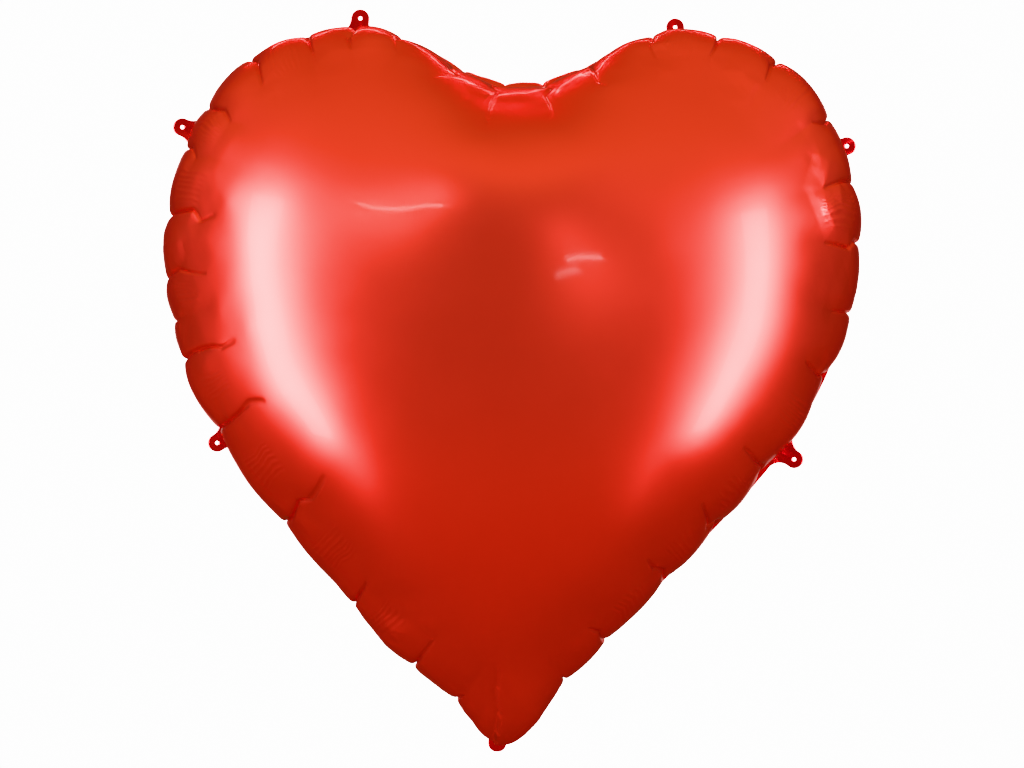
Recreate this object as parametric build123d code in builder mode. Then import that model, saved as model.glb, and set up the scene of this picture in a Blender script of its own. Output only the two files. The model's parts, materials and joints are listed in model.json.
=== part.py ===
"""Heart-shaped foil balloon: two film panels sealed along a narrow seam, six punched
hanging tabs, a filling tail and the flat self-sealing valve inside it.

Frame: +Z up, X across the heart, the seam lies in the plane Y = 0 and the front panel
bulges towards -Y. The origin is at the end of the tail. Millimetres.
"""
from build123d import *
from math import atan2, sin
import os

# ---------------------------------------------------------------- driving dimensions
heart_width = 684.0  # across the lobes, edge to edge of the seam
heart_height = 703.0  # tip of the seam to the top of the lobes
dome_depth = 186.0  # seam plane to the crown of one panel
dome_wall = 0.8  # stand-in for the film of the blown-up panel
seam_ply = 0.4  # stand-in for one ply of film in the flat seam, tabs and tail
seam_width = 4.0  # heat-sealed margin all round

tab_reach = 24.0  # seam edge to the end of a hanging tab
tab_end_radius = 9.0
tab_hole_radius = 2.0
tab_flare_radius = 13.0  # hollow curve from the seam into the tab
tab_fold = 5.0  # seam edge to the line a tab bends about
tab_stations = {"top": 0.846, "upper": 0.659, "lower": 0.369}  # shares of the half seam
fold_gap = 1.2  # free film at every fold, left open between the stiff pieces

tail_width = 18.0
tail_drop = 16.0  # end of the tail below the tip of the seam
tail_fold = 10.0  # fold of the tail above the tip of the seam
inlet_radius = 3.0
inlet_height = 9.0  # centre of the filling hole above the end of the tail

valve_width = 16.0
valve_length = 120.0
valve_ply = 0.2
valve_gap = 0.1  # between the two plies of the valve
valve_play = 0.4  # free space round the ply that swings
valve_foot = 6.0  # height of the throat that the swinging ply is free in

# Half of the seam's edge, from the tip up the side, over the lobe and into the cleft:
# shares of half the width and of the height.
outline_shares = (
    (0.0, 0.0),
    (0.253, 0.117),
    (0.592, 0.290),
    (0.871, 0.464),
    (0.994, 0.634),
    (0.977, 0.780),
    (0.848, 0.923),
    (0.500, 1.0),
    (0.207, 0.957),
    (0.0, 0.923),
)
outline_samples = 14  # points of the seam's edge that the dome's sections follow
crown_share = 0.64  # height of the crown, as a share of the heart's height
dome_stations = (0.0, 0.10, 0.25, 0.42, 0.60, 0.76, 0.89, 0.97, 1.0)
crown_flat = 0.995  # share of the depth that the last section's size is taken at
side_fullness = (1.9, 1.85)  # exponents of the swelling at the sides and lobes
tip_fullness = (1.3, 1.4)  # and towards the tip, where the panel is flatter

# ---------------------------------------------------------------- outline and sections
tip_height = tail_drop
fold_height = tip_height + tail_fold
crown_height = tip_height + crown_share * heart_height

edge_points = [
    (across * heart_width / 2, tip_height + up * heart_height) for across, up in outline_shares
]
half_edge = Spline(*edge_points, tangents=[(1, 1), (-1, 0)], tangent_scalars=(1, 0.6))


def edge_frame(share):
    """Point of the right half of the seam's edge and the direction out of the heart."""
    point = half_edge.position_at(share)
    along = half_edge.tangent_at(share)
    return point, Vector(along.Y, -along.X)


def inset_points(inset):
    """The right half of the edge, moved into the heart, from the tip to the cleft."""
    tip_tangent = half_edge.tangent_at(0)
    half_angle = atan2(tip_tangent.X, tip_tangent.Y)
    points = [(0.0, tip_height + inset / sin(half_angle))]
    for step in range(1, outline_samples):
        point, outward = edge_frame(step / outline_samples)
        moved = point - outward * inset
        points.append((moved.X, moved.Y))
    points.append((0.0, half_edge.position_at(1).Y - inset))
    return points


def swelling(depth_share, fullness):
    """Size of the section at a share of the dome's depth, as a share of its base."""
    rise, fall = fullness
    return (1 - depth_share**rise) ** (1 / fall)


def section_points(base, depth_share):
    """The base outline drawn in towards the crown, faster below it than beside it."""
    share = min(depth_share, crown_flat)
    side = swelling(share, side_fullness)
    tip = swelling(share, tip_fullness)
    points = []
    for across, height in base:
        above = height - crown_height
        points.append((across * side, crown_height + above * (side if above > 0 else tip)))
    return points


def heart_sketch(points, plane=Plane.XZ):
    """A closed heart from the right half of its outline, level in the cleft."""
    with BuildSketch(plane) as heart:
        with BuildLine():
            for side in (1, -1):
                half = [(side * across, height) for across, height in points]
                leave_tip = (half[1][0] - half[0][0], half[1][1] - half[0][1])
                Spline(*half, tangents=[leave_tip, (-side, 0)])
        make_face()
    return heart.sketch


def dome_sections(inset, depth):
    """Sections of a dome of this depth, on the seam's edge moved in by the inset."""
    base = inset_points(inset)
    sections = []
    for station in dome_stations:
        points = section_points(base, station)
        sections.append(heart_sketch(points, Plane.XZ.offset(station * depth)).face())
    return sections


# ---------------------------------------------------------------- hanging tabs
def tab_plane(side, station):
    """Seam edge at a tab: X along the edge, Y out of the heart, normal to the front."""
    point, outward = edge_frame(tab_stations[station])
    return Plane(
        origin=(side * point.X, 0, point.Y),
        x_dir=(outward.Y, 0, -side * outward.X),
        z_dir=(0, -1, 0),
    )


tab_planes = {
    f"{station}_{name}": tab_plane(side, station)
    for station in tab_stations
    for side, name in ((-1, "left"), (1, "right"))
}
tab_centre = tab_reach - tab_end_radius
tab_half_base = tab_end_radius + tab_flare_radius


def tab_sketch(plane, low, high):
    """What a tab has between two distances from the seam's edge."""
    with BuildSketch(plane) as tab:
        with BuildLine():
            Line((-tab_half_base, -seam_width / 2), (tab_half_base, -seam_width / 2))
            Line((tab_half_base, -seam_width / 2), (tab_half_base, 0))
            RadiusArc((tab_half_base, 0), (tab_end_radius, tab_flare_radius), tab_flare_radius)
            Line((tab_end_radius, tab_flare_radius), (tab_end_radius, tab_centre))
            RadiusArc((tab_end_radius, tab_centre), (-tab_end_radius, tab_centre), -tab_end_radius)
            Line((-tab_end_radius, tab_centre), (-tab_end_radius, tab_flare_radius))
            RadiusArc((-tab_end_radius, tab_flare_radius), (-tab_half_base, 0), tab_flare_radius)
            Line((-tab_half_base, 0), (-tab_half_base, -seam_width / 2))
        make_face()
        with Locations((0, (low + high) / 2)):
            Rectangle(2 * tab_half_base, high - low, mode=Mode.INTERSECT)
    return tab.sketch


# ---------------------------------------------------------------- panels
trim_top = fold_height + fold_gap / 2
valve_recess = valve_gap / 2 + valve_ply

with BuildSketch(Plane.XZ) as below_fold:
    with Locations((0, trim_top)):
        Rectangle(heart_width, 2 * trim_top, align=(Align.CENTER, Align.MAX))

with BuildPart() as panel_blank:
    extrude(heart_sketch(edge_points), amount=seam_ply)
    for plane in tab_planes.values():
        extrude(tab_sketch(plane, -seam_width / 2, tab_fold - fold_gap / 2), amount=seam_ply)
    loft(sections=dome_sections(seam_width, dome_depth))
    loft(
        sections=dome_sections(seam_width + dome_wall, dome_depth - dome_wall),
        mode=Mode.SUBTRACT,
    )
    extrude(below_fold.sketch, amount=dome_depth, mode=Mode.SUBTRACT)

with BuildPart() as front_panel:
    add(panel_blank.part)
    with BuildSketch(Plane.XZ):
        with Locations((0, trim_top)):
            Rectangle(valve_width, valve_foot, align=(Align.CENTER, Align.MIN))
    extrude(amount=valve_recess, mode=Mode.SUBTRACT)

with BuildPart() as back_panel:
    add(mirror(panel_blank.part, about=Plane.XZ, mode=Mode.PRIVATE))
    with BuildSketch(Plane.XZ):
        with Locations((0, trim_top)):
            Rectangle(
                valve_width + 2 * valve_play,
                valve_foot + valve_play,
                align=(Align.CENTER, Align.MIN),
            )
    extrude(amount=-(seam_ply + valve_play), mode=Mode.SUBTRACT)


# ---------------------------------------------------------------- hanging tabs, made
def hanging_tab(plane):
    """A punched tab outside its fold, both plies fused."""
    with BuildPart() as tab:
        extrude(tab_sketch(plane, tab_fold + fold_gap / 2, tab_reach), amount=seam_ply, both=True)
        with Locations(plane):
            with Locations((0, tab_centre)):
                Hole(tab_hole_radius)
    return tab.part


tabs = {name: hanging_tab(plane) for name, plane in tab_planes.items()}


# ---------------------------------------------------------------- filling tail
def tail_sketch():
    """The tail below its fold: a strip that ends in a half round."""
    with BuildSketch(Plane.XZ) as strip:
        with Locations((0, tail_width / 2)):
            Circle(tail_width / 2)
            Rectangle(
                tail_width,
                fold_height - fold_gap / 2 - tail_width / 2,
                align=(Align.CENTER, Align.MIN),
            )
    return strip.sketch


with BuildPart() as tail_front_ply:
    extrude(tail_sketch(), amount=seam_ply)

with BuildPart() as tail_back_ply:
    extrude(tail_sketch(), amount=-seam_ply)
    with Locations(Plane.XZ):
        with Locations((0, inlet_height)):
            Hole(inlet_radius)


# ---------------------------------------------------------------- self-sealing valve
def valve_sketch(plane):
    """One ply of the valve: a strip from the throat up into the balloon."""
    with BuildSketch(plane) as strip:
        with Locations((0, trim_top)):
            Rectangle(valve_width, valve_length, align=(Align.CENTER, Align.MIN))
    return strip.sketch


with BuildPart() as valve_front_ply:
    extrude(valve_sketch(Plane.XZ.offset(valve_gap / 2)), amount=valve_ply)

with BuildPart() as valve_back_ply:
    extrude(valve_sketch(Plane.XZ.offset(-valve_gap / 2)), amount=-valve_ply)

# ---------------------------------------------------------------- files
pieces = {
    "front_panel": front_panel.part,
    "back_panel": back_panel.part,
    "tail_front_ply": tail_front_ply.part,
    "tail_back_ply": tail_back_ply.part,
    "valve_front_ply": valve_front_ply.part,
    "valve_back_ply": valve_back_ply.part,
}
for name, tab in tabs.items():
    pieces[f"tab_{name}"] = tab

os.makedirs("parts", exist_ok=True)
for name, piece in pieces.items():
    piece.label = name
    export_step(piece, f"parts/{name}.step")
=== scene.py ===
"""The looks of the heart-shaped foil balloon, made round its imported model. Lengths are in metres."""
import json
from math import cos, pi, radians, sin, sqrt

import bpy
import numpy as np
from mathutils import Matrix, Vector
from mathutils.geometry import delaunay_2d_cdt
from mathutils.kdtree import KDTree


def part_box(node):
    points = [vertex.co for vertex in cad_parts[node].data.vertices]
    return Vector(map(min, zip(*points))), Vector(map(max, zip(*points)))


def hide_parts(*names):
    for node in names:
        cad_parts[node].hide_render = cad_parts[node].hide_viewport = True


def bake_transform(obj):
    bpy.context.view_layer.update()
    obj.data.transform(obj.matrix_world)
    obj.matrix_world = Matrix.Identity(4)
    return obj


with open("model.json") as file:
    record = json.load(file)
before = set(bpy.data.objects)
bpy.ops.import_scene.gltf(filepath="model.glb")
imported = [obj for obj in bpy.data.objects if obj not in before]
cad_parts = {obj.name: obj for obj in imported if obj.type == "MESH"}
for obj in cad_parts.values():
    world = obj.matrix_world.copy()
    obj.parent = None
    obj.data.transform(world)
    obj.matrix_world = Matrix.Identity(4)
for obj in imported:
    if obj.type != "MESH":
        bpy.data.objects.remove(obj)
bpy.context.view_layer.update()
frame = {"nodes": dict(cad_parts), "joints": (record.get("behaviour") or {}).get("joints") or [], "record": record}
joints = {joint["name"]: joint for joint in frame["joints"]}
mounts = {mount["name"]: mount for mount in frame["record"]["mounts"]}

# ---- Sizes ----

FLAT_WIDTH = 0.836          # each sheet of film between its welds, before it is blown up
FLAT_HEIGHT = 0.832
SEAM_WIDTH = 0.004          # the weld, outside the blown-up film
TAIL_FOLD = 0.010           # from the heart's tip up to the tail's fold
PLY_OFFSET = 0.00015        # each film lies this far from the middle of the weld
MESH_STEP = 0.020           # of the coarsest film mesh

# Half outlines from the tip up to the cleft, as shares of the half width and the height
FLAT_SHARES = [
    (0, 0), (0.19, 0.044), (0.37, 0.10), (0.675, 0.242), (0.912, 0.415), (1.0, 0.62),
    (0.93, 0.80), (0.78, 0.91), (0.60, 0.967), (0.41, 0.998), (0.20, 0.993), (0, 0.978),
]
EDGE_SHARES = [
    (0, 0), (0.253, 0.117), (0.592, 0.290), (0.871, 0.464), (0.994, 0.634),
    (0.977, 0.780), (0.848, 0.923), (0.5, 1), (0.207, 0.957), (0, 0.923),
]

# Creases: where each leaves the weld, as a share of the half seam from the tip up to the cleft,
# how far it reaches over the film, and how deep it is
LEFT_CREASES = [
    (0.052, 0.045, 0.8), (0.099, 0.085, 0.9), (0.178, 0.083, 1.0), (0.273, 0.138, 1.2),
    (0.376, 0.130, 1.2), (0.448, 0.124, 1.1), (0.484, 0.045, 0.4), (0.526, 0.095, 0.8),
    (0.581, 0.107, 1.1), (0.641, 0.060, 0.8), (0.686, 0.078, 1.0), (0.745, 0.070, 0.9),
    (0.798, 0.062, 0.8), (0.838, 0.070, 0.7), (0.885, 0.072, 0.35), (0.945, 0.092, 0.3),
    (0.981, 0.142, 0.5),
]
RIGHT_CREASES = [
    (0.078, 0.040, 0.8), (0.130, 0.075, 0.9), (0.210, 0.095, 1.0), (0.274, 0.105, 1.1),
    (0.341, 0.108, 1.1), (0.446, 0.092, 1.0), (0.508, 0.075, 0.8), (0.571, 0.088, 1.0),
    (0.626, 0.074, 0.9), (0.687, 0.054, 0.8), (0.754, 0.060, 0.9), (0.808, 0.062, 0.8),
    (0.868, 0.078, 0.5), (0.935, 0.104, 0.45), (0.972, 0.124, 0.55),
]
REACH_SCALE = 1.1           # of every crease's reach
CREASE_DEPTH = 0.0066       # of a crease of depth 1, at its deepest
CREASE_HALF_WIDTH = 0.0019  # at the weld, and half of this at its end
CREASE_RISE = 0.022         # from the weld to the crease's full depth
CREASE_FALL = 0.55          # exponent of its fading towards the end
DOWN_FROM = 0.955           # share of the half seam where creases begin to turn downwards
DOWN_OVER = 0.015           # and over which they do
DOWN_MOST = 0.8             # how far they turn, where 1 is straight down

PILLOW_HEIGHT = 0.0034      # of the film between two creases over the film at a crease
WIDE_PILLOW = 0.07          # between creases closer than this, the pillow is lower
RIM_RISE = 0.011            # from the weld, over which the bulge and the pillows rise
RIM_REACH = 0.03            # from the weld, up to which they keep their height
RIM_FADE = 0.055            # over which they fade beyond that

# How far the film bulges beyond the weld, by loop value: 0 is the tip, 1 the cleft and 2 the tip again
RIM_BULGES = [
    (0, 0.015), (0.04, 0.018), (0.09, 0.012), (0.16, 0.008), (0.26, 0.006), (0.34, 0.002), (0.42, 0.001),
    (0.5, 0.013), (0.6, 0.019), (0.66, 0.018), (0.7, 0.021), (0.76, 0.023), (0.81, 0.022), (0.86, 0.013),
    (0.91, 0.008), (0.96, 0.007), (1, 0.007), (1.04, 0.007), (1.1, 0.009), (1.16, 0.011), (1.22, 0.014),
    (1.32, 0.011), (1.45, 0.015), (1.54, 0.011), (1.6, 0.011), (1.66, 0.013), (1.72, 0.017), (1.8, 0.017),
    (1.87, 0.022), (1.93, 0.014), (1.97, 0.009), (2, 0.013),
]
BACK_CLEFT_BULGE = 0.010    # of the back film in the cleft, on top of that
BACK_CLEFT_SPREAD = 0.09    # in loop value
TIP_DROP = 0.014            # of the film over the tail
TIP_DROP_HEIGHT = 0.034     # above the tip, over which it fades
TIP_DROP_DEPTH = 0.006      # from the middle plane, over which it rises

# Fine ripples: side, share of the half seam, half their spread along it, and from how far to how
# far from the weld they lie
RIPPLES = [
    (-1, 0.772, 0.016, 0.046, 0.076), (-1, 0.665, 0.015, 0.046, 0.074), (-1, 0.607, 0.018, 0.052, 0.084),
    (-1, 0.505, 0.012, 0.062, 0.088), (-1, 0.412, 0.012, 0.080, 0.104), (-1, 0.320, 0.016, 0.070, 0.108),
    (-1, 0.226, 0.018, 0.064, 0.110), (-1, 0.145, 0.014, 0.052, 0.086),

    (1, 0.600, 0.016, 0.054, 0.086), (1, 0.725, 0.014, 0.044, 0.072),
    (1, 0.400, 0.018, 0.066, 0.098), (1, 0.305, 0.016, 0.070, 0.104), (1, 0.240, 0.014, 0.060, 0.092),
    (1, 0.170, 0.016, 0.052, 0.086), (1, 0.840, 0.014, 0.046, 0.074),
]
RIPPLE_LENGTH = 0.0062
RIPPLE_HEIGHT = 0.00022
RIPPLE_ENDS = 0.008         # over which ripples fade along the seam
RIPPLE_EDGE = 0.010         # and across it


# ---- Outlines ----

def spline(points, count, end_slope):
    """A natural cubic spline through the points, with the given slope at its end"""
    points = np.asarray(points, float)
    knots = np.r_[0, np.cumsum(np.linalg.norm(np.diff(points, axis=0), axis=1))]
    step = np.diff(knots)
    last = len(points) - 1
    system = np.zeros((last + 1, last + 1))
    right = np.zeros((last + 1, 2))
    for i in range(1, last):
        system[i, i - 1:i + 2] = step[i], 2 * (step[i - 1] + step[i]), step[i - 1]
        before = (points[i] - points[i - 1]) / step[i - 1]
        after = (points[i + 1] - points[i]) / step[i]
        right[i] = 3 * (step[i] * before + step[i - 1] * after)
    system[0, :2] = 2, 1
    right[0] = 3 * (points[1] - points[0]) / step[0]
    system[last, last] = 1
    right[last] = end_slope
    slopes = np.linalg.solve(system, right)
    place = np.linspace(0, knots[-1], count)
    i = np.clip(np.searchsorted(knots, place, side="right") - 1, 0, last - 1)
    t = ((place - knots[i]) / step[i])[:, None]
    span = step[i][:, None]
    return (
        (2 * t**3 - 3 * t**2 + 1) * points[i] + (t**3 - 2 * t**2 + t) * span * slopes[i]
        + (3 * t**2 - 2 * t**3) * points[i + 1] + (t**3 - t**2) * span * slopes[i + 1]
    )


def half_outline(shares, width, height, count=3000):
    """The right half of a heart from its tip up to its cleft, level there"""
    return spline(np.array(shares) * [width / 2, height], count, (-1, 0))


def lengths_along(curve):
    """The curve's length up to each of its points"""
    return np.r_[0, np.cumsum(np.linalg.norm(np.diff(curve, axis=0), axis=1))]


def at_share(curve, shares):
    """Points of the curve at shares of its length"""
    along = lengths_along(curve)
    where = np.asarray(shares) * along[-1]
    return np.stack([np.interp(where, along, curve[:, k]) for k in (0, 1)], axis=1)


def inner_normals(curve):
    """Unit normals to the left of the curve, which is the inside of the right half"""
    tangent = np.gradient(curve, axis=0)
    tangent /= np.linalg.norm(tangent, axis=1)[:, None]
    return np.stack([-tangent[:, 1], tangent[:, 0]], axis=1)


def inset(curve, distance):
    """The right half moved inwards, from the middle plane to the middle plane"""
    moved = curve + inner_normals(curve) * distance
    moved = moved[moved[:, 0] >= 0]
    moved[-1, 0] = 0
    first, second = moved[0], moved[1]
    start = first[1] - first[0] * (second[1] - first[1]) / (second[0] - first[0])
    return np.vstack([[0, start], moved])


def placed(curve, shares, side):
    """Points at the shares of the half seam, on the left where side is -1"""
    points = at_share(curve, shares)
    points[:, 0] *= side
    return points


tail_joint = Vector(joints["tail_fold"]["pos_m"])
tip_z = tail_joint.z - TAIL_FOLD
half_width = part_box("front_panel")[1].x
# the dome stands out of the flat weld and ends a weld's width below the heart's top
panel = np.array([v.co for v in frame["nodes"]["front_panel"].data.vertices])
dome_top = panel[panel[:, 1] < -0.001][:, 2].max()
heart_height = dome_top + SEAM_WIDTH - tip_z

flat_half = half_outline(FLAT_SHARES, FLAT_WIDTH, FLAT_HEIGHT)
edge_half = half_outline(EDGE_SHARES, 2 * half_width, heart_height) + [0, tip_z]
seam_half = inset(edge_half, SEAM_WIDTH)
flat_length = lengths_along(flat_half)[-1]
seam_length = lengths_along(seam_half)[-1]


# ---- Meshes of triangles ----

class Film:
    """Both sheets in one mesh, joined at the seam. A sheet is -1 in front and 1 behind"""

    def __init__(self, place, flat, faces, sheet, loop, is_seam):
        self.place = place      # blown up
        self.flat = flat        # the same points on the flat sheet
        self.faces = faces
        self.sheet = sheet      # of each face
        self.loop = loop        # seam points only: 0 at the tip, 1 at the cleft, on to 2 at the tip
        self.is_seam = is_seam

    def edges(self):
        """Each edge once, its number in each face, and the points across it"""
        a, b, c = self.faces.T.astype(np.int64)
        start = np.concatenate([a, b, c])
        end = np.concatenate([b, c, a])
        across = np.concatenate([c, a, b])
        code = np.minimum(start, end) * len(self.place) + np.maximum(start, end)
        known, number = np.unique(code, return_inverse=True)
        ends = np.stack([known // len(self.place), known % len(self.place)], axis=1)
        order = np.argsort(number, kind="stable")
        first = np.searchsorted(number[order], np.arange(len(known)))
        opposite = np.stack([across[order[first]], across[order[first + 1]]], axis=1)
        faces_of = np.stack([order[first], order[first + 1]], axis=1) % len(self.faces)
        return ends, number.reshape(3, -1).T, opposite, faces_of

    def normals(self):
        """Unit normals of the points, out of the balloon"""
        corner = self.place[self.faces]
        normal = np.cross(corner[:, 1] - corner[:, 0], corner[:, 2] - corner[:, 0])
        total = np.zeros_like(self.place)
        for k in range(3):
            for axis in range(3):
                total[:, axis] += np.bincount(self.faces[:, k], normal[:, axis], len(total))
        return total / (np.linalg.norm(total, axis=1)[:, None] + 1e-15)

    def refined(self, chosen):
        """The chosen faces split in four, and their neighbours split to match"""
        ends, in_face, _, faces_of = self.edges()
        marked = np.zeros(len(ends), bool)
        marked[in_face[chosen]] = True
        count = len(self.place)
        middle = np.full(len(ends), -1)
        middle[marked] = count + np.arange(marked.sum())
        a, b = ends[marked].T
        normal = self.normals()
        span = self.place[b] - self.place[a]
        bow = normal[b] * (normal[b] * span).sum(1)[:, None] - normal[a] * (normal[a] * span).sum(1)[:, None]
        half_way = (self.place[a] + self.place[b]) / 2 + bow / 8
        seam = (self.sheet[faces_of[marked]].sum(1) == 0)
        loop = (self.loop[a] + self.loop[b]) / 2
        loop = np.where(abs(self.loop[a] - self.loop[b]) > 1, (loop + 1) % 2, loop)
        faces, sheet = split_faces(self.faces, middle[in_face], self.sheet)
        return Film(
            np.vstack([self.place, half_way]), np.vstack([self.flat, (self.flat[a] + self.flat[b]) / 2]),
            faces, sheet, np.r_[self.loop, np.where(seam, loop, 0)], np.r_[self.is_seam, seam],
        )


def split_faces(faces, middle, sheet):
    """Splits each face at the new points in the middle of its edges, where -1 means none"""
    number = (middle >= 0).sum(1)
    turn = np.where(number == 1, (middle >= 0).argmax(1), 0)
    turn = np.where(number == 2, ((middle >= 0).argmin(1) + 1) % 3, turn)
    order = (np.arange(3) + turn[:, None]) % 3
    a, b, c = np.take_along_axis(faces, order, axis=1).T
    p, q, r = np.take_along_axis(middle, order, axis=1).T
    patterns = {
        0: [(a, b, c)],
        1: [(a, p, c), (p, b, c)],
        2: [(p, b, q), (a, p, q), (a, q, c)],
        3: [(a, p, r), (p, b, q), (r, q, c), (p, q, r)],
    }
    new_faces, new_sheet = [], []
    for amount, pieces in patterns.items():
        chosen = number == amount
        for piece in pieces:
            new_faces.append(np.stack(piece, axis=1)[chosen])
            new_sheet.append(sheet[chosen])
    return np.vstack(new_faces), np.concatenate(new_sheet)


# ---- The two flat sheets, welded together ----

MESH_JITTER = 0.08          # of the mesh step
MESH_GAP = 0.62             # of the mesh step, from a grid point to an edge or crease
START_SLOPE = 0.4           # of the sheets before they are blown up
START_REACH = 0.15          # from the weld, up to which they slope


def inside(points, outline):
    """Which points lie inside the closed outline"""
    x1, z1 = outline.T
    x2, z2 = np.roll(outline, -1, axis=0).T
    x, z = points[:, :1], points[:, 1:]
    crosses = (z1 > z) != (z2 > z)
    rise = np.where(z1 == z2, 1e-12, z2 - z1)
    return (crosses & (x < (x2 - x1) * (z - z1) / rise + x1)).sum(1) % 2 == 1


def seam_stations():
    """Loop values of the seam points, with one at each crease"""
    stations = []
    for creases, turned in ((RIGHT_CREASES, False), (LEFT_CREASES, True)):
        stops = [0.0] + [share for share, _, _ in creases] + [1.0]
        shares = []
        for low, high in zip(stops, stops[1:]):
            pieces = max(1, round((high - low) * flat_length / MESH_STEP))
            shares += list(np.linspace(low, high, pieces + 1)[:-1])
        shares = np.array(shares + [1.0])
        stations.append((2 - shares)[::-1][:-1] if turned else shares[:-1])
    return np.concatenate(stations)


def on_loop(curve, loop):
    """Points of a half outline and its mirror image at loop values"""
    right = loop <= 1
    return np.where(right[:, None], at_share(curve, loop), at_share(curve, 2 - loop) * [-1, 1])


class Crease:
    """A crease's place and directions on the flat sheet"""

    def __init__(self, side, share, reach, depth):
        self.reach, self.depth = REACH_SCALE * reach, depth
        before, self.root, after = placed(flat_half, [share - 0.002, share, share + 0.002], side)
        along = (after - before) * side
        self.inward = np.array([-along[1], along[0]]) / np.linalg.norm(along)
        # beside the cleft the creases run almost straight down
        down = DOWN_MOST * min(1, max(0, (share - DOWN_FROM) / DOWN_OVER))
        self.inward = (1 - down) * self.inward + down * np.array([0.0, -1.0])
        self.inward /= np.linalg.norm(self.inward)
        self.across = np.array([self.inward[1], -self.inward[0]])
        self.loop = share if side > 0 else 2 - share


def creases_of(sheet):
    """The creases of one sheet. Behind, they start at the same places but differ in reach and depth"""
    spread = np.random.default_rng(5)
    found = []
    for side, rows in ((1, RIGHT_CREASES), (-1, LEFT_CREASES)):
        for share, reach, depth in rows:
            change = spread.uniform(0.8, 1.15) if sheet > 0 else 1
            found.append(Crease(side, share, reach * change, depth * min(1, change + 0.1)))
    return found


def flat_sheet(outline, loop, creases, seed):
    """Triangles over the flat heart, with edges along the creases"""
    count = len(outline)
    low, high = outline.min(0), outline.max(0)
    rows = np.arange(low[1], high[1], MESH_STEP * sqrt(3) / 2)
    columns = np.arange(low[0], high[0], MESH_STEP)
    grid = np.array([(x + MESH_STEP / 2 * (j % 2), z) for j, z in enumerate(rows) for x in columns])
    grid += np.random.default_rng(seed).normal(size=grid.shape) * MESH_JITTER * MESH_STEP
    grid = grid[inside(grid, outline)]
    edges = [(i, (i + 1) % count) for i in range(count)]
    lines = []
    total = count
    for crease in creases:
        start = int(abs(loop - crease.loop).argmin())
        pieces = max(1, round(crease.reach / MESH_STEP))
        steps = np.linspace(0, crease.reach, pieces + 1)[1:, None]
        lines.append(outline[start] + crease.inward * steps)
        chain = [start] + list(range(total, total + pieces))
        edges += list(zip(chain, chain[1:]))
        total += pieces
    fixed = np.vstack([outline] + lines)
    gap = np.sqrt(((grid[:, None] - fixed[None]) ** 2).sum(2).min(1))
    points = np.vstack([fixed, grid[gap > MESH_GAP * MESH_STEP]])
    found, _, faces, *_ = delaunay_2d_cdt([Vector(p) for p in points], edges, [], 1, 1e-7)
    found = np.array([tuple(p) for p in found])
    faces = np.array([tuple(f) for f in faces])
    corner = found[faces]
    first, second = corner[:, 1] - corner[:, 0], corner[:, 2] - corner[:, 0]
    turned = first[:, 0] * second[:, 1] < first[:, 1] * second[:, 0]
    faces[turned] = faces[turned][:, ::-1]
    return found, faces


def welded_film():
    """Both flat sheets in one mesh, a little apart everywhere but at the seam"""
    loop = seam_stations()
    outline = on_loop(flat_half, loop)
    count = len(outline)
    front, front_faces = flat_sheet(outline, loop, creases_of(-1), 1)
    back, back_faces = flat_sheet(outline, loop, creases_of(1), 2)
    back_faces = np.where(back_faces < count, back_faces, back_faces + len(front) - count)[:, ::-1]
    flat = np.vstack([front, back[count:]])
    side = np.r_[np.zeros(count), -np.ones(len(front) - count), np.ones(len(back) - count)]
    reach = np.sqrt(((flat[:, None] - outline[None]) ** 2).sum(2).min(1))
    shrink = seam_length / flat_length
    swell = side * (START_SLOPE * np.minimum(reach, START_REACH) + SEAM_WIDTH)
    place = np.stack([flat[:, 0] * shrink, swell, flat[:, 1] * shrink + tip_z], axis=1)
    sheet = np.r_[-np.ones(len(front_faces), int), np.ones(len(back_faces), int)]
    is_seam = side == 0
    all_loop = np.r_[loop, np.zeros(len(flat) - count)]
    return Film(place, flat, np.vstack([front_faces, back_faces]), sheet, all_loop, is_seam)


# ---- Blowing up ----

STIFFNESS = 0.25            # of the film when stretched, per step squared
SLACKNESS = 0.01            # of the film when pressed together: it wrinkles instead
FOLDING = 0.002             # of the film against sharp folds
BOW_RADIUS = 0.15           # the film's usual radius, which turns a strain into a pressure
PRESSURE_EVERY = 4          # steps between two updates of the pressure's direction
PRESSURE_SCALE = 1.15       # of the pressure that the strain and the radius give
CLEFT_REACH = 0.085         # of the further smoothing round the cleft
CLEFT_ROUNDS = 110


def gas_push(place, faces):
    """Twice the area of each face, along its outer normal"""
    first = place[:, faces[:, 0]]
    one, two = place[:, faces[:, 1]] - first, place[:, faces[:, 2]] - first
    return np.stack([
        one[1] * two[2] - one[2] * two[1], one[2] * two[0] - one[0] * two[2],
        one[0] * two[1] - one[1] * two[0],
    ])


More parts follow.
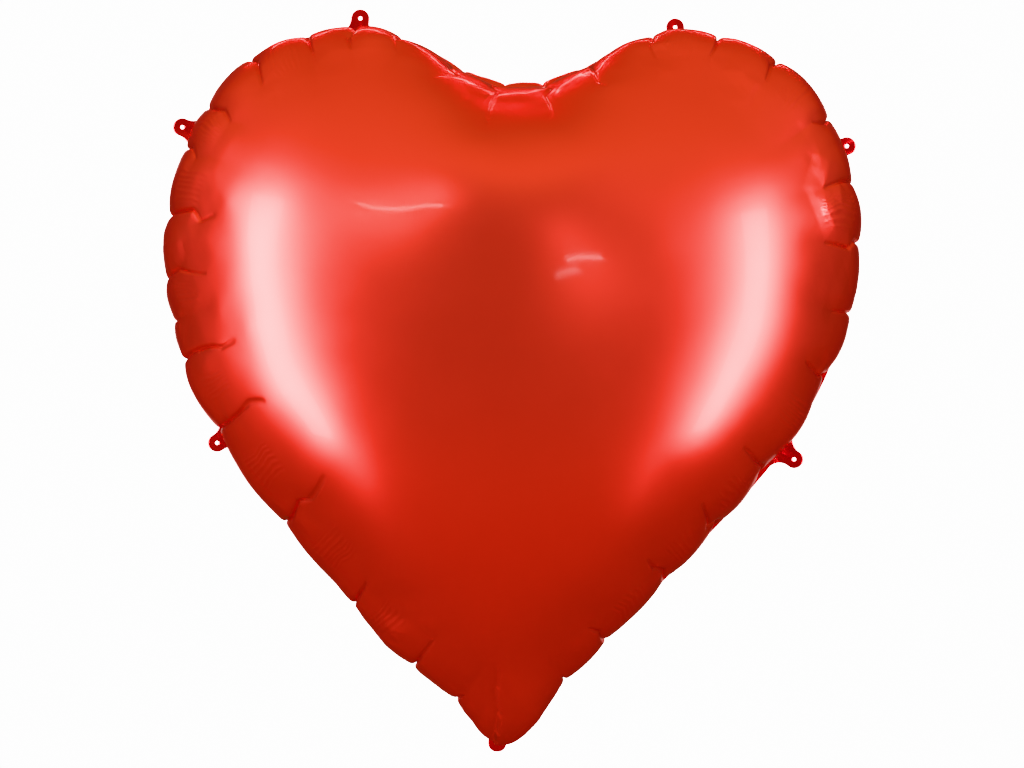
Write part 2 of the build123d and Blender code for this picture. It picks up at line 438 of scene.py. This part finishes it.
def blow_up(film, steps, strain, damping, ease):
    """Moves the film until its pull balances the pressure, with its seam led to its place

    Every edge is a spring, stiff when stretched and slack when pressed together, and so is the
    line between the two points across it, which resists sharp folds.
    """
    ends, _, opposite, _ = film.edges()
    welded = film.is_seam[ends].all(axis=1)
    pairs = np.vstack([ends[~welded], opposite[~welded]])
    length = np.linalg.norm(film.flat[pairs[:, 0]] - film.flat[pairs[:, 1]], axis=1)
    links = (~welded).sum()
    pull = np.r_[np.full(links, STIFFNESS), np.full(links, FOLDING)]
    push = np.r_[np.full(links, SLACKNESS), np.full(links, FOLDING)]
    order = np.argsort(pairs[:, 0], kind="stable")
    a, b = pairs[order].T
    length, pull, push = (v[order].astype(np.float32) for v in (length, pull, push))
    both = np.concatenate([a, b])
    corners = film.faces.T.ravel()
    pressure = np.float32(strain * PRESSURE_SCALE * STIFFNESS / BOW_RADIUS / 6)
    place = np.ascontiguousarray(film.place.T.astype(np.float32))
    speed = np.zeros_like(place)
    count = place.shape[1]
    seam = np.where(film.is_seam)[0]
    goal = on_loop(seam_half, film.loop[seam]).T
    goal = np.stack([goal[0], np.zeros(len(seam)), goal[1]]).astype(np.float32)
    start = place[:, seam].copy()
    side = np.zeros(count, np.float32)
    side[film.faces] = film.sheet[:, None]
    free = np.where(~film.is_seam)[0]
    side = side[free]
    keep = np.float32(1 - damping)
    for step in range(steps):
        if step % PRESSURE_EVERY == 0:
            push_on_faces = gas_push(place, film.faces)
            gas = np.stack([np.bincount(corners, np.tile(row, 3), count) for row in push_on_faces])
            gas = gas.astype(np.float32) * pressure
        link = place[:, b] - place[:, a]
        size = np.sqrt((link * link).sum(0)) + np.float32(1e-12)
        excess = size - length
        link *= np.where(excess > 0, pull, push) * excess / size
        for axis in range(3):
            speed[axis] += np.bincount(both, np.concatenate([link[axis], -link[axis]]), count)
        speed += gas
        speed *= keep
        place += speed
        touching = place[1, free] * side < PLY_OFFSET
        place[1, free[touching]] = PLY_OFFSET * side[touching]
        speed[1, free[touching]] = 0
        share = np.float32(min(1, (step + 1) / ease))
        place[:, seam] = start * (1 - share) + goal * share
        speed[:, seam] = 0
    film.place = place.T.astype(float)


def smooth(film, rounds):
    """Takes out short waves and keeps long ones, with the seam held"""
    ends = film.edges()[0]
    a, b = ends.T
    count = len(film.place)
    degree = np.bincount(np.concatenate([a, b]), minlength=count)[:, None]
    free = ~film.is_seam

    def pull():
        near = np.stack([
            np.bincount(a, film.place[b, k], count) + np.bincount(b, film.place[a, k], count)
            for k in range(3)
        ], axis=1) / degree
        return near - film.place

    for _ in range(rounds):
        for amount in (0.5, -0.51):
            film.place[free] += amount * pull()[free]
    # the cleft needs more, and its roundness is not lost by it
    cleft = np.array([0, 0, seam_half[-1, 1]])
    share = np.exp(-((np.linalg.norm(film.place - cleft, axis=1) / CLEFT_REACH) ** 2))[:, None]
    for _ in range(CLEFT_ROUNDS):
        film.place[free] += (0.5 * share * pull())[free]


# ---- Creases, pillows and ripples ----

def seam_map(flat):
    """For points of the flat sheet: the loop value of the nearest seam point, and how far it is"""
    along = np.linspace(0, 2, 2401)[:-1]
    outline = on_loop(flat_half, along)
    tree = KDTree(len(outline))
    for i, (x, z) in enumerate(outline):
        tree.insert((x, z, 0), i)
    tree.balance()
    nearest = np.array([tree.find((x, z, 0))[1] for x, z in flat])
    tangent = np.roll(outline, -1, axis=0) - np.roll(outline, 1, axis=0)
    tangent /= np.linalg.norm(tangent, axis=1)[:, None]
    tip, cleft = 0, len(along) // 2
    tangent[tip] = tangent[cleft] = 0
    offset = flat - outline[nearest]
    t = tangent[nearest]
    shift = np.clip((offset * t).sum(1), -0.002, 0.002)
    depth = np.where(
        (t == 0).all(1), np.linalg.norm(offset, axis=1), abs(offset[:, 1] * t[:, 0] - offset[:, 0] * t[:, 1])
    )
    return along[nearest] + shift / flat_length, depth


def smooth_step(value):
    """0 below 0, 1 above 1, and smooth between them"""
    value = np.clip(value, 0, 1)
    return value * value * (3 - 2 * value)


def bump(value, low, high, fade):
    """1 from low to high, falling smoothly to 0 over fade outside them"""
    return smooth_step(np.minimum((value - low) / fade + 1, (high - value) / fade + 1))


def crease_coordinates(crease, flat):
    """How far each point is along the crease and across it"""
    offset = flat - crease.root
    return offset @ crease.inward, offset @ crease.across


def ripple_windows(loop, depth):
    """For each patch of ripples: how far points are from its middle, and how much they ripple"""
    for side, share, spread, low, high in RIPPLES:
        centre = share if side > 0 else 2 - share
        across = (loop - centre) * flat_length
        window = bump(across, -spread, spread, RIPPLE_ENDS) * bump(depth, low, high, RIPPLE_EDGE)
        yield across, window


def rim_height(sheet, creases, loop, depth):
    """The bulge past the weld, with a pillow between each two creases"""
    stops = np.array(sorted([0.0] + [crease.loop for crease in creases] + [2.0]))
    after = np.clip(np.searchsorted(stops, loop, side="right"), 1, len(stops) - 1)
    from_last = loop - stops[after - 1]
    to_next = stops[after] - loop
    arch = 1 - ((from_last - to_next) / (from_last + to_next)) ** 2
    width = (stops[after] - stops[after - 1]) * flat_length
    pillow = PILLOW_HEIGHT * np.minimum(1, width / WIDE_PILLOW) * (arch - 1)
    bulge = np.interp(loop, *zip(*RIM_BULGES))
    if sheet > 0:
        bulge += BACK_CLEFT_BULGE * np.exp(-((loop - 1) / BACK_CLEFT_SPREAD) ** 2)
    rise = 1 - np.exp(-((depth / RIM_RISE) ** 2))
    fade = np.exp(-((np.maximum(depth - RIM_REACH, 0) / RIM_FADE) ** 2))
    return (bulge + pillow) * (rise * fade)


def crease_depth(crease, flat):
    """How far each point sinks into one crease"""
    along, across = crease_coordinates(crease, flat)
    share = np.clip(along / crease.reach, 0, 1)
    narrow = CREASE_HALF_WIDTH * (1 - 0.5 * share)
    profile = np.exp(-abs(across) / narrow) * (along < crease.reach)
    rise = smooth_step(along / CREASE_RISE)
    return CREASE_DEPTH * crease.depth * profile * rise * (1 - share) ** CREASE_FALL


def ripple_height(sheet, loop, depth):
    """Fine waves, each patch with its own length and its crests unevenly spaced"""
    height = np.zeros(len(loop))
    phase = np.random.default_rng(11 if sheet < 0 else 12)
    for across, window in ripple_windows(loop, depth):
        turn, stretch = phase.uniform(0, 2 * pi), phase.uniform(0.9, 1.15)
        uneven = 1.3 * np.sin(across * 170 + turn)
        wave = np.sin(2 * pi * across / (RIPPLE_LENGTH * stretch) + turn + uneven)
        height += RIPPLE_HEIGHT * wave * window
    return height


def relief(flat, sheet, loop, depth):
    """How far each point of one sheet stands out of the blown-up film"""
    creases = creases_of(sheet)
    height = rim_height(sheet, creases, loop, depth)
    for crease in creases:
        height -= crease_depth(crease, flat)
    return height + ripple_height(sheet, loop, depth)


FINE_RIM = 0.112            # from the weld, where the mesh is refined once more
FINE_BESIDE = 0.007         # to each side of a crease, where it is refined again
FINE_BEYOND = 0.004         # and past the crease's end


def near_crease(flat, sheet):
    """Which points of a sheet lie beside one of its creases"""
    close = np.zeros(len(flat), bool)
    for crease in creases_of(sheet):
        along, across = crease_coordinates(crease, flat)
        close |= (abs(across) < FINE_BESIDE) & (along > 0) & (along < crease.reach + FINE_BEYOND)
    return close


def detailed(film):
    """The film with a mesh fine enough for its creases and ripples"""
    film = film.refined(np.ones(len(film.faces), bool))
    centre = film.flat[film.faces].mean(1)
    film = film.refined(seam_map(centre)[1] < FINE_RIM)
    centre = film.flat[film.faces].mean(1)
    loop, depth = seam_map(centre)
    chosen = np.zeros(len(centre), bool)
    for sheet in (-1, 1):
        chosen |= near_crease(centre, sheet) & (film.sheet == sheet)
    for _, window in ripple_windows(loop, depth):
        chosen |= window > 0.05
    return film.refined(chosen)


def blown_up_film():
    """The film at its balance under pressure, with its relief"""
    film = welded_film()
    blow_up(film, steps=700, strain=0.02, damping=0.01, ease=1)
    blow_up(film, steps=200, strain=0.006, damping=0.03, ease=1)
    film = film.refined(np.ones(len(film.faces), bool))
    blow_up(film, steps=350, strain=0.006, damping=0.02, ease=20)
    smooth(film, 300)
    film = detailed(film)
    add_relief(film)
    near_tip = np.exp(-(((film.place[:, 2] - tip_z) / TIP_DROP_HEIGHT) ** 2))
    film.place[:, 2] -= TIP_DROP * near_tip * np.clip(abs(film.place[:, 1]) / TIP_DROP_DEPTH, 0, 1)
    return film


def add_relief(film):
    """Moves the film along its normals by its relief, with the seam held"""
    loop, depth = seam_map(film.flat)
    loop = np.where(film.is_seam, film.loop, loop)
    height = np.zeros(len(film.place))
    for sheet in (-1, 1):
        mine = np.zeros(len(height), bool)
        mine[film.faces[film.sheet == sheet]] = True
        height[mine] = relief(film.flat[mine], sheet, loop[mine], depth[mine])
    height[film.is_seam] = 0
    film.place += film.normals() * height[:, None]


# ---- Blender objects ----

def mesh_object(name, points, faces, materials):
    """A smooth-shaded object in the scene"""
    mesh = bpy.data.meshes.new(name)
    mesh.from_pydata([tuple(p) for p in points], [], [tuple(int(i) for i in f) for f in faces])
    mesh.update()
    mesh.shade_smooth()
    for material in materials:
        mesh.materials.append(material)
    made = bpy.data.objects.new(name, mesh)
    bpy.context.scene.collection.objects.link(made)
    return made


FLUTTER = 0.0008            # of the weld's loose edge
CALM_BY_TAB = 0.022         # from the middle of a tab, up to which the edge lies flat
CALM_BY_TIP = 0.03          # and from the tip
FRONT_TIP_GAP = 0.0004      # of each ply at the tip, where the tail and the valve lie between them
BACK_TIP_GAP = 0.0008
TIP_GAP_HEIGHT = 0.03       # above the tip, over which the gaps close
LOOP_SAMPLES = np.linspace(0, 2, 4001)[:-1]


def flutter(loop):
    """How far the weld's loose edge waves out of its plane"""
    wave = 0.5 * np.sin(loop * 61 * pi) + 0.3 * np.sin(loop * 97 * pi + 1)
    wave += 0.2 * np.sin(loop * 173 * pi + 2)
    calm = np.ones(len(loop))
    for joint in joints.values():
        if joint["name"].endswith("tab_fold"):
            x, _, z = joint["pos_m"]
            root = nearest_loop((x, z))
            calm *= 1 - np.exp(-(((loop - root) * seam_length / CALM_BY_TAB) ** 4))
    tip = np.minimum(loop, 2 - loop) * seam_length
    calm *= 1 - np.exp(-((tip / CALM_BY_TIP) ** 4))
    return FLUTTER * wave * calm


def nearest_loop(point):
    """Loop value of the seam's point nearest to a point of the middle plane"""
    gap = np.linalg.norm(on_loop(seam_half, LOOP_SAMPLES) - point, axis=1)
    return LOOP_SAMPLES[gap.argmin()]


def film_piece(film, sheet, name, materials):
    """One sheet's open skin with its ply of the weld"""
    used, faces = np.unique(film.faces[film.sheet == sheet], return_inverse=True)
    faces = faces.reshape(-1, 3)
    points = film.place[used].copy()
    seam = film.is_seam[used]
    tip_gap = BACK_TIP_GAP if sheet > 0 else FRONT_TIP_GAP
    parting = tip_gap * np.exp(-(((points[:, 2] - tip_z) / TIP_GAP_HEIGHT) ** 2))
    ply = sheet * (PLY_OFFSET + parting)
    points[seam, 1] = ply[seam]
    order = np.where(seam)[0]
    order = order[np.argsort(film.loop[used][order])]
    loop = film.loop[used][order]
    start = len(points)
    rows = [order]
    for share in (0.5, 1):
        outer = on_loop(outline_between(share), loop)
        wave = flutter(loop) * share**1.5
        points = np.vstack([points, np.stack([outer[:, 0], ply[order] + wave, outer[:, 1]], axis=1)])
        rows.append(np.arange(start, start + len(order)))
        start += len(order)
    weld = weld_faces(rows, sheet)
    made = mesh_object(name, points, list(faces) + list(weld), materials)
    slots = np.r_[np.zeros(len(faces), int), np.ones(len(weld), int)]
    made.data.polygons.foreach_set("material_index", slots)
    sharpen(made.data, order)
    return made


def weld_faces(rows, sheet):
    """Rings of faces between the rows of points across the weld, facing away from the other ply"""
    rings = [
        np.stack([inner, outer, np.roll(outer, -1), np.roll(inner, -1)], axis=1)
        for inner, outer in zip(rows, rows[1:])
    ]
    return np.vstack(rings) if sheet < 0 else np.vstack(rings)[:, ::-1]


def sharpen(mesh, seam_points):
    """Makes an edge where the dome meets the flat weld"""
    ends = np.zeros(2 * len(mesh.edges), int)
    mesh.edges.foreach_get("vertices", ends)
    on_seam = np.zeros(len(mesh.vertices), bool)
    on_seam[seam_points] = True
    sharp = mesh.attributes.new("sharp_edge", "BOOLEAN", "EDGE")
    sharp.data.foreach_set("value", on_seam[ends].reshape(-1, 2).all(axis=1))


def outline_between(share):
    """From the seam, at 0, to the heart's edge, at 1"""
    if share == 1:
        return edge_half
    return inset(edge_half, SEAM_WIDTH * (1 - share))


# ---- Tabs and tail ----

TAB_REACH = 0.024           # from the heart's edge to the tab's end
TAB_END_RADIUS = 0.009
TAB_FLARE_RADIUS = 0.013
TAB_FOLD = 0.005            # from the heart's edge out to the fold
TAB_ROOT_IN = 0.0032        # how far the tab's root reaches into the weld
TAB_ROOT_CURVE = 0.016      # from the heart's edge, over which the root follows its curve
TAB_THICKNESS = 0.00045     # two welded plies
LAMINA_STEP = 0.0011        # of the mesh of tabs and tail
LAMINA_GAP = 0.6            # of that step, from a grid point to an edge


def tab_outline():
    """Closed outline in the tab's own plane: across, and out from the heart's edge"""
    centre = TAB_REACH - TAB_END_RADIUS
    corner = TAB_END_RADIUS + TAB_FLARE_RADIUS
    flare = [
        (corner - TAB_FLARE_RADIUS * sin(t), TAB_FLARE_RADIUS * (1 - cos(t)))
        for t in np.linspace(0, pi / 2, 12)
    ]
    end = [
        (TAB_END_RADIUS * cos(t), centre + TAB_END_RADIUS * sin(t)) for t in np.linspace(0, pi / 2, 12)
    ]
    side = [(corner, -TAB_ROOT_IN)] + flare + end
    return np.array(side + [(-across, out) for across, out in side[::-1][1:]])


def lamina(outline, hole_centre=(0, 0), hole_radius=0):
    """Triangles inside an outline, round a hole where it has a radius"""
    turns = np.linspace(0, 2 * pi, 25)[:-1] if hole_radius else np.zeros(0)
    ring = hole_centre + hole_radius * np.stack([np.cos(turns), np.sin(turns)], axis=1)
    low, high = outline.min(0), outline.max(0)
    grid = np.array([
        (x + LAMINA_STEP / 2 * (j % 2), z)
        for j, z in enumerate(np.arange(low[1], high[1], LAMINA_STEP * sqrt(3) / 2))
        for x in np.arange(low[0], high[0], LAMINA_STEP)
    ])
    grid = grid[inside(grid, outline)]
    fixed = np.vstack([outline, ring])
    gap = np.sqrt(((grid[:, None] - fixed[None]) ** 2).sum(2).min(1))
    off_hole = np.linalg.norm(grid - hole_centre, axis=1) > hole_radius
    grid = grid[(gap > LAMINA_GAP * LAMINA_STEP) & off_hole]
    edges = [(i, (i + 1) % len(outline)) for i in range(len(outline))]
    edges += [(len(outline) + i, len(outline) + (i + 1) % len(ring)) for i in range(len(ring))]
    points = [Vector(p) for p in np.vstack([fixed, grid])]
    found, _, faces, *_ = delaunay_2d_cdt(points, edges, [], 1, 1e-8)
    found = np.array([tuple(p) for p in found])
    faces = np.array([tuple(f) for f in faces])
    middle = found[faces].mean(1)
    return found, faces[np.linalg.norm(middle - hole_centre, axis=1) > hole_radius]


def thicken(made, thickness):
    """Gives the sheet a real thickness, centred on it"""
    solid = made.modifiers.new("plies", "SOLIDIFY")
    solid.thickness = thickness
    solid.offset = 0
    mesh = bpy.data.meshes.new_from_object(made.evaluated_get(bpy.context.evaluated_depsgraph_get()))
    made.modifiers.clear()
    made.data = mesh
    mesh.shade_smooth()


def hanging_tab(station, material):
    """One tab, welded to the heart's edge and puckered at its root"""
    joint = joints[f"{station}_tab_fold"]
    mount = mounts[f"hang_hole_{station}"]
    fold = np.array(joint["pos_m"])[[0, 2]]
    hole = np.array(mount["pos_m"])[[0, 2]]
    out = (hole - fold) / np.linalg.norm(hole - fold)
    across = np.array([out[1], -out[0]])
    hole_place = np.array([0, TAB_FOLD + np.linalg.norm(hole - fold)])
    found, faces = lamina(tab_outline(), hole_place, mount["dims"]["r_mm"] / 1000)
    flat = fold + out * (found[:, 1:] - TAB_FOLD) + across * found[:, :1]
    pucker = tab_pucker(*found.T, phase=sum(joint["pos_m"]) * 400)
    points = np.stack([flat[:, 0], pucker, flat[:, 1]], axis=1)
    # the flared root keeps to the heart's curved edge
    drop = edge_drop(flat, fold, out, across)
    pull = np.clip(1 - found[:, 1] / TAB_ROOT_CURVE, 0, 1)
    points[:, [0, 2]] -= out * (drop * pull)[:, None]
    made = mesh_object(f"{station}_tab_film", points, faces, [material])
    thicken(made, TAB_THICKNESS)
    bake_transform(made)
    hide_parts(f"tab_{station}")


def tab_pucker(across, out, phase):
    """Gathers at the root, a wave further out and a bend of the whole tab"""
    root = np.exp(-np.clip(out, 0, None) / 0.009) * np.clip((out + 0.004) / 0.005, 0, 1)
    gathers = 0.0006 * np.sin(across / 0.0021 + phase) * root
    wave = 0.0005 * np.sin(across / 0.0062 + phase / 2) * np.clip(out / 0.012, 0, 1)
    bend = 0.0008 * np.clip(out / TAB_REACH, 0, 1) ** 2 * np.cos(phase)
    return gathers + wave + bend


def edge_drop(flat, fold, out, across):
    """How far the heart's edge falls away from the tab's straight root line"""
    edge = on_loop(edge_half, LOOP_SAMPLES) - fold
    level, place = edge @ out + TAB_FOLD, edge @ across
    near = (abs(place) < 0.03) & (abs(level) < 0.03)
    order = np.argsort(place[near])
    return -np.interp((flat - fold) @ across, place[near][order], level[near][order])


TAIL_HALF_WIDTH = 0.009
TAIL_CORNER = 0.008         # radius of the rounded lower end
TAIL_NECK = 0.006           # above the heart's tip, where the tail narrows a little
TAIL_TOP = 0.012            # above the heart's tip
TAIL_PLY_OFFSET = 0.0009    # of each ply from the middle plane
TAIL_PLY = 0.0003           # thickness of each ply


def tail_outline():
    """Closed outline of the tail in the middle plane"""
    low = [
        (TAIL_HALF_WIDTH - TAIL_CORNER + TAIL_CORNER * cos(t), TAIL_CORNER - TAIL_CORNER * sin(t))
        for t in np.linspace(pi / 2, 0, 8)
    ]
    right = low + [(TAIL_HALF_WIDTH, tip_z + TAIL_NECK), (TAIL_HALF_WIDTH - 0.001, tip_z + TAIL_TOP)]
    return np.array(right + [(-x, z) for x, z in right[::-1]])


def tail_ply(side, name, node, material):
    """One ply of the filling tail, from its lower end to inside the heart's tip"""
    if side > 0:
        inlet = mounts["filling_inlet"]
        x, _, z = inlet["pos_m"]
        found, faces = lamina(tail_outline(), (x, z), inlet["dims"]["r_mm"] / 1000)
        faces = faces[:, ::-1]
    else:
        found, faces = lamina(tail_outline())
    x, z = found.T
    wave = 0.0003 * np.sin(x / 0.0022 + 1) * np.clip(z / 0.02, 0, 1)
    wave += 0.0009 * np.sin(z / 0.006) * np.clip((tip_z - z) / tip_z, 0, 1)
    points = np.stack([x, wave + side * TAIL_PLY_OFFSET, z], axis=1)
    made = mesh_object(name, points, faces, [material])
    thicken(made, TAIL_PLY)
    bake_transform(made)
    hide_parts(node)


# ---- Materials ----

def set_values(node, **values):
    """Sets a node's properties and inputs, whose names have _ for a space"""
    for name, value in values.items():
        if hasattr(node, name):
            setattr(node, name, value)
        else:
            node.inputs[name.replace("_", " ")].default_value = value
    return node


def node_maker(tree):
    """Two functions for a node tree: one adds a node with its values, one links two sockets"""
    def add(kind, **values):
        return set_values(tree.nodes.new(kind), **values)

    return add, tree.links.new


def new_material(name):
    """A material with its shader and its two node functions"""
    material = bpy.data.materials.new(name)
    material.use_nodes = True
    return material, material.node_tree.nodes["Principled BSDF"], *node_maker(material.node_tree)


def film_material(name, colour, deep_colour, roughness, mottle):
    """Metallised film: a satin mirror under a clear gloss coat"""
    material, shader, add, link = new_material(name)
    set_values(shader, Metallic=0.92, IOR=1.5, Specular_Tint=(0.9, 0.22, 0.14, 1))
    set_values(shader, Coat_Weight=0.2, Coat_Roughness=0.055)
    where = add("ShaderNodeTexCoord")
    cloud = add("ShaderNodeTexNoise", Scale=5.0, Detail=3.0)
    tint = add("ShaderNodeMix", data_type="RGBA", A=(*colour, 1), B=(*deep_colour, 1))
    link(where.outputs["Object"], cloud.inputs["Vector"])
    spread = add("ShaderNodeMapRange", From_Min=0.35, From_Max=0.7, To_Max=mottle)
    link(cloud.outputs["Fac"], spread.inputs["Value"])
    link(spread.outputs["Result"], tint.inputs["Factor"])
    link(tint.outputs["Result"], shader.inputs["Base Color"])
    grain = add("ShaderNodeTexNoise", Scale=26.0, Detail=4.0)
    link(where.outputs["Object"], grain.inputs["Vector"])
    rough = add("ShaderNodeMapRange", To_Min=roughness - 0.02, To_Max=roughness + 0.03)
    link(grain.outputs["Fac"], rough.inputs["Value"])
    link(rough.outputs["Result"], shader.inputs["Roughness"])
    fine = add("ShaderNodeTexNoise", Scale=900.0, Detail=2.0)
    link(where.outputs["Object"], fine.inputs["Vector"])
    dent = add("ShaderNodeBump", Strength=0.04, Distance=0.0002)
    link(fine.outputs["Fac"], dent.inputs["Height"])
    link(dent.outputs["Normal"], shader.inputs["Normal"])
    return material


def valve_material():
    """Thin milky film"""
    material, shader, add, link = new_material("milky_film")
    set_values(shader, Transmission_Weight=0.5)
    where = add("ShaderNodeTexCoord")
    cloud = add("ShaderNodeTexNoise", Scale=40.0, Detail=3.0)
    link(where.outputs["Object"], cloud.inputs["Vector"])
    tint = add("ShaderNodeMix", data_type="RGBA", A=(0.82, 0.83, 0.84, 1), B=(0.74, 0.76, 0.78, 1))
    link(cloud.outputs["Fac"], tint.inputs["Factor"])
    link(tint.outputs["Result"], shader.inputs["Base Color"])
    rough = add("ShaderNodeMapRange", To_Min=0.3, To_Max=0.5)
    link(cloud.outputs["Fac"], rough.inputs["Value"])
    link(rough.outputs["Result"], shader.inputs["Roughness"])
    return material


# ---- Studio ----

# The room's colours from straight down, at 0, to straight up, at 1
ROOM_COLOURS = [
    (0.0, (0.50, 0.18, 0.12)), (0.15, (0.60, 0.23, 0.15)), (0.29, (0.60, 0.32, 0.22)),
    (0.42, (0.44, 0.34, 0.27)), (0.55, (0.40, 0.37, 0.31)), (0.7, (0.68, 0.66, 0.52)),
    (0.85, (1.10, 1.06, 0.70)), (1.0, (1.15, 1.04, 0.66)),
]
ROOM_BEHIND = 0.42          # how bright the room is behind the balloon, where it is 1 in front
WHITE_STRENGTH = 5


def area_light(name, place, aim, width, height, power, colour=(1, 1, 1)):
    """A rectangular light that faces the aim"""
    light = bpy.data.lights.new(name, "AREA")
    light.shape = "RECTANGLE"
    light.size, light.size_y = width, height
    light.energy = power
    light.color = colour
    made = bpy.data.objects.new(name, light)
    bpy.context.scene.collection.objects.link(made)
    made.location = place
    made.rotation_euler = (Vector(aim) - Vector(place)).to_track_quat("-Z", "Y").to_euler()
    return made


def studio():
    """A white surround for the camera, and a room with a darker lower half for the film's reflections"""
    world = bpy.data.worlds.new("studio")
    bpy.context.scene.world = world
    world.use_nodes = True
    add, link = node_maker(world.node_tree)
    nodes = world.node_tree.nodes
    white = set_values(nodes["Background"], Color=(1, 1, 1, 1), Strength=WHITE_STRENGTH)
    room = add("ShaderNodeBackground")
    where = add("ShaderNodeTexCoord")
    split = add("ShaderNodeSeparateXYZ")
    ramp = add("ShaderNodeValToRGB")
    level = add("ShaderNodeMapRange", From_Min=-1)
    mix = add("ShaderNodeMixShader")
    path = add("ShaderNodeLightPath")
    link(where.outputs["Generated"], split.inputs["Vector"])
    link(split.outputs["Z"], level.inputs["Value"])
    link(level.outputs["Result"], ramp.inputs["Fac"])
    link(ramp.outputs["Color"], room.inputs["Color"])
    depth = add("ShaderNodeMapRange", From_Min=-1, To_Min=1, To_Max=ROOM_BEHIND)
    link(split.outputs["Y"], depth.inputs["Value"])
    link(depth.outputs["Result"], room.inputs["Strength"])
    colours = ramp.color_ramp.elements
    while len(colours) < len(ROOM_COLOURS):
        colours.new(0.5)
    for element, (place, colour) in zip(colours, ROOM_COLOURS):
        element.position = place
        element.color = (*colour, 1)
    link(path.outputs["Is Camera Ray"], mix.inputs["Fac"])
    link(room.outputs["Background"], mix.inputs[1])
    link(white.outputs["Background"], mix.inputs[2])
    link(mix.outputs["Shader"], nodes["World Output"].inputs["Surface"])
    bpy.context.scene.view_settings.view_transform = "Khronos PBR Neutral"


FLOOR_DROP = 0.9            # below the end of the tail
FLOOR_SIZE = 8.0


def floor():
    """A pale floor, which the film doesn't reflect"""
    material, shader, add, link = new_material("pale_floor")
    set_values(shader, Roughness=0.8)
    where = add("ShaderNodeTexCoord")
    cloud = add("ShaderNodeTexNoise", Scale=3.0, Detail=4.0)
    tint = add("ShaderNodeMix", data_type="RGBA", A=(0.72, 0.72, 0.72, 1), B=(0.78, 0.78, 0.77, 1))
    link(where.outputs["Object"], cloud.inputs["Vector"])
    link(cloud.outputs["Fac"], tint.inputs["Factor"])
    link(tint.outputs["Result"], shader.inputs["Base Color"])
    half = FLOOR_SIZE / 2
    corners = [(-half, -half), (half, -half), (half, half), (-half, half)]
    made = mesh_object("floor", [(x, y, -FLOOR_DROP) for x, y in corners], [(0, 1, 2, 3)], [material])
    made.visible_glossy = False


CAMERA_AIM = Vector((0.0045, 0, 0.370))
CAMERA_DISTANCE = 2.2
FRAME_WIDTH = 1.030         # that the camera sees at the middle plane
CAMERA_ROLL = 1.63          # degrees


def camera():
    """A camera straight in front of the balloon, rolled a little"""
    lens = bpy.data.cameras.new("camera")
    lens.sensor_width = 36
    lens.lens = lens.sensor_width * CAMERA_DISTANCE / FRAME_WIDTH
    made = bpy.data.objects.new("camera", lens)
    bpy.context.scene.collection.objects.link(made)
    made.location = CAMERA_AIM - Vector((0, CAMERA_DISTANCE, 0))
    made.rotation_euler = (radians(90), radians(-CAMERA_ROLL), 0)
    bpy.context.scene.camera = made


SOFTBOX_COLOUR = (1, 0.92, 1)
LIGHT_AIM = (0, 0, 0.4)
# Place, width along X, length along Y, and power
CEILING_TUBES = [
    ((-2.12, -3.6, 2.1), 0.03, 1.7, 17), ((3.45, -10.3, 2.1), 0.09, 4.6, 105),
    ((4.15, -16.8, 2.1), 0.14, 7.5, 170), ((0, 1.9, 2.3), 2.6, 0.06, 14),
]


def lights():
    """Tall softboxes at both sides, in front and behind, and thin tubes under the ceiling"""
    area_light("left_softbox", (-1.87, -1.08, 0.38), LIGHT_AIM, 0.42, 2.1, 74, SOFTBOX_COLOUR)
    area_light("right_softbox", (1.84, -1.11, 0.44), LIGHT_AIM, 0.32, 1.9, 52, SOFTBOX_COLOUR)
    for side in (-1, 1):
        area_light("rear_softbox", (side * 0.9, 2.3, 0.5), LIGHT_AIM, 0.8, 1.6, 3)
    for place, width, length, power in CEILING_TUBES:
        tube = area_light("ceiling_tube", place, LIGHT_AIM, width, length, power)
        tube.rotation_euler = (0, 0, 0)


# ---- The balloon ----

camera()
studio()
lights()
floor()

red_film = film_material("red_film_skin", (0.80, 0.080, 0.060), (0.77, 0.072, 0.053), 0.29, 0.6)
seam_film = film_material("seam_film_skin", (0.62, 0.012, 0.016), (0.70, 0.030, 0.030), 0.18, 1.0)
weld_film = film_material("weld_film_skin", (0.55, 0.012, 0.012), (0.45, 0.010, 0.010), 0.42, 1.0)
milky_film = valve_material()
for node in ("valve_front_ply", "valve_back_ply"):
    valve_mesh = frame["nodes"][node].data
    valve_mesh.materials.clear()
    valve_mesh.materials.append(milky_film)

balloon = blown_up_film()
for sheet, label in ((-1, "front"), (1, "back")):
    piece = film_piece(balloon, sheet, f"{label}_film", [red_film, weld_film])
    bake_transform(piece)
    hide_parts(f"{label}_panel")
for name in joints:
    if name.endswith("_tab_fold"):
        hanging_tab(name.removesuffix("_tab_fold"), seam_film)
tail_ply(-1, "front_tail_film", "tail_front_ply", seam_film)
tail_ply(1, "back_tail_film", "tail_back_ply", seam_film)
